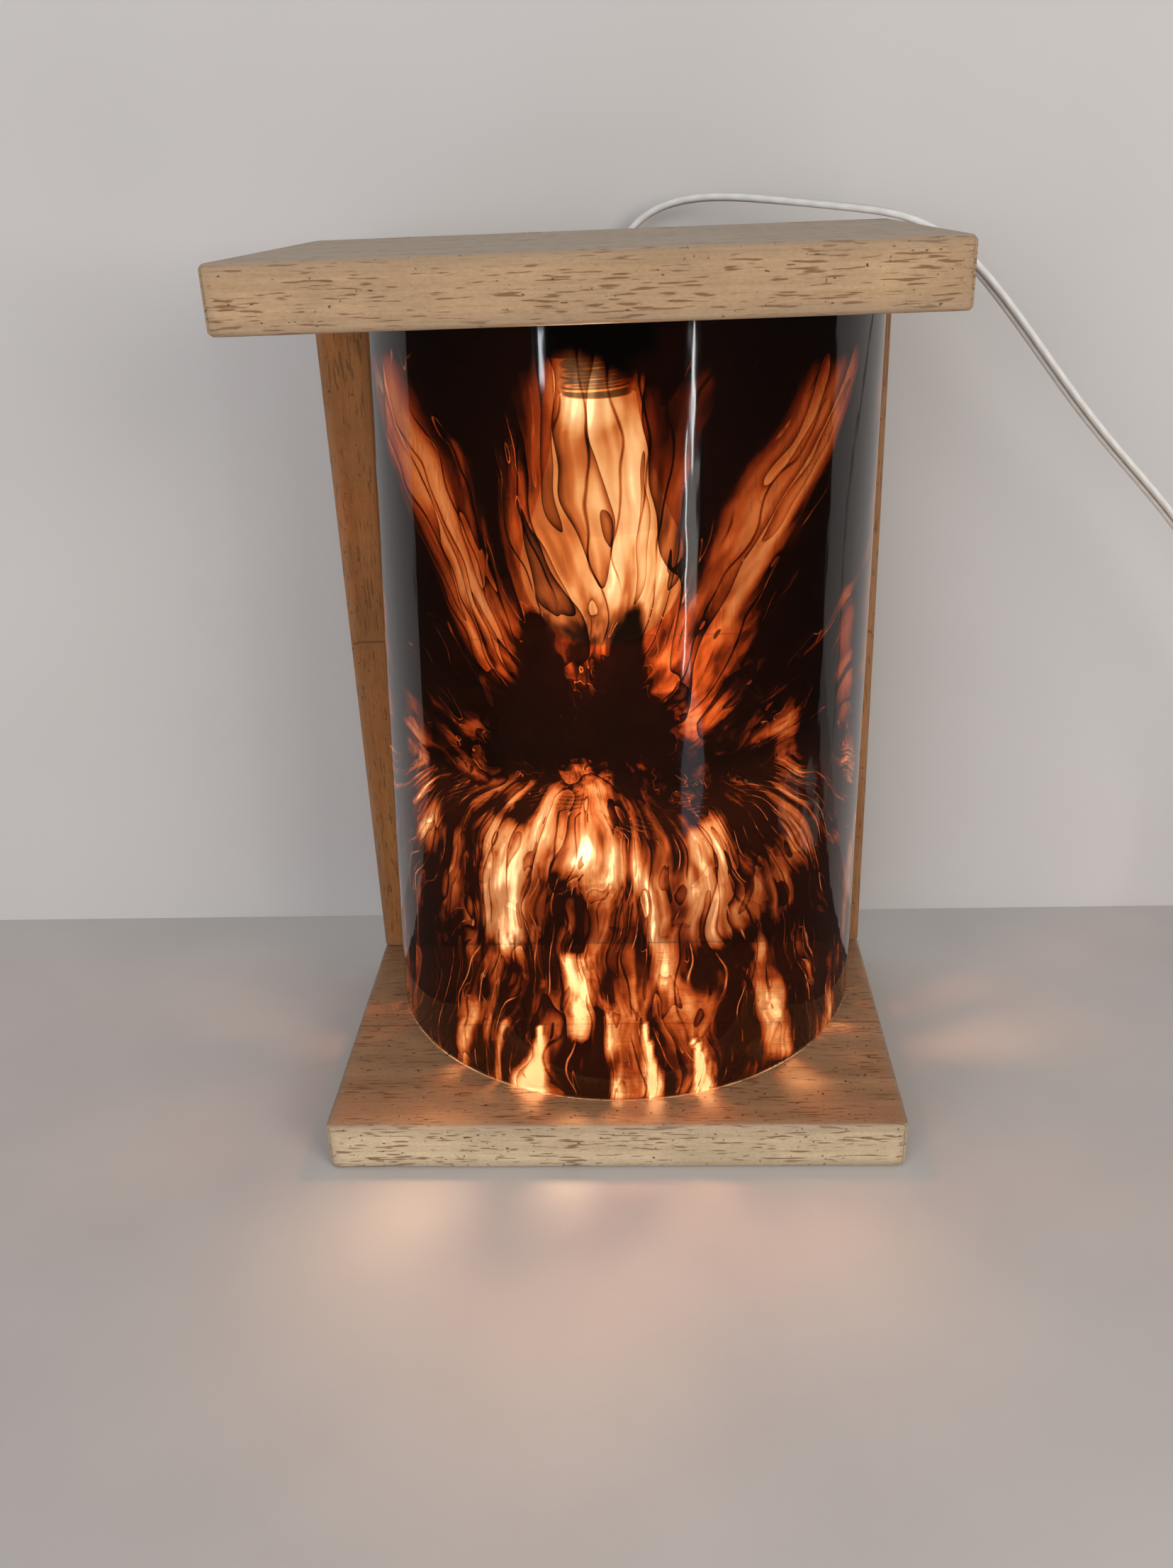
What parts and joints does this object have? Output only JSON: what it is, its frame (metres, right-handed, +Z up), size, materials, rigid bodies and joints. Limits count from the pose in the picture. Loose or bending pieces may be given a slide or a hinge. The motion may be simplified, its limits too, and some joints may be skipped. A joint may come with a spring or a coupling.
{
  "type": "table lamp",
  "caption": "Free-standing table lamp: wooden base, back and top boards hold a curved shell of inked cast resin around a screw-in bulb, with a flat cord, rocker switch and plug",
  "frame": {"origin": "middle of the base board's underside", "axes": "+Z up, -Y towards the front of the shell, +X to the right"},
  "size_m": [0.497, 0.211, 0.337],
  "materials": {
    "board_wood": "sanded and oiled",
    "ink_resin": "clear cast with dark ink flows, polished",
    "zinc_steel": "zinc plated",
    "black_plastic": "moulded",
    "brass": "stamped",
    "cap_metal": "rolled, satin",
    "white_plastic": "moulded",
    "opal_plastic": "opal diffuser, lit",
    "light_plate": "white coated plate",
    "light_chip": "phosphor coated",
    "circuit_board": "solder masked",
    "cord_vinyl": "translucent soft vinyl"
  },
  "bodies": {
    "stand": {"base_board": "board_wood", "back_board": "board_wood", "top_board": "board_wood", "resin_shell": "ink_resin", "board_screws": "zinc_steel", "lampholder_body": "black_plastic", "lampholder_sleeve": "brass", "lampholder_contact": "brass", "lampholder_terminals": "brass", "terminal_screws": "zinc_steel", "lampholder_screws": "zinc_steel", "cord_bush": "black_plastic", "cord_lead": "cord_vinyl", "cord_run": "cord_vinyl", "switch_base": "white_plastic", "switch_cover": "white_plastic", "switch_contacts": "brass", "switch_screws": "zinc_steel", "cord_link": "cord_vinyl", "cord_coil": "cord_vinyl", "coil_tie": "black_plastic", "cord_tail": "cord_vinyl", "plug_body": "white_plastic", "plug_pins": "cap_metal"},
    "bulb_contact_end": {"bulb_tip": "cap_metal", "bulb_insulator": "black_plastic"},
    "bulb": {"bulb_cap": "cap_metal", "bulb_housing": "white_plastic", "bulb_globe": "opal_plastic", "light_board": "light_plate", "light_chips": "light_chip", "driver_board": "circuit_board"},
    "rocker": {"switch_rocker": "black_plastic"}
  },
  "joints": [
    {"name": "bulb_lower", "type": "slide", "parent": "stand", "child": "bulb_contact_end", "axis": [0, 0, -1], "range_m": [0, 0.0128]},
    {"name": "bulb_unscrew", "type": "hinge", "parent": "bulb_contact_end", "child": "bulb", "pos_m": [0, 0, 0.29], "axis": [0, 0, -1], "range_deg": [0, 1260]},
    {"name": "switch_rock", "type": "hinge", "parent": "stand", "child": "rocker", "pos_m": [0.3, 0.01, 0.0136], "axis": [-1, 0, 0], "range_deg": [0, 16]}
  ],
  "couplings": [
    {"joint": "bulb_lower", "follows": "bulb_unscrew", "m_per_rad": 0.00057773}
  ]
}
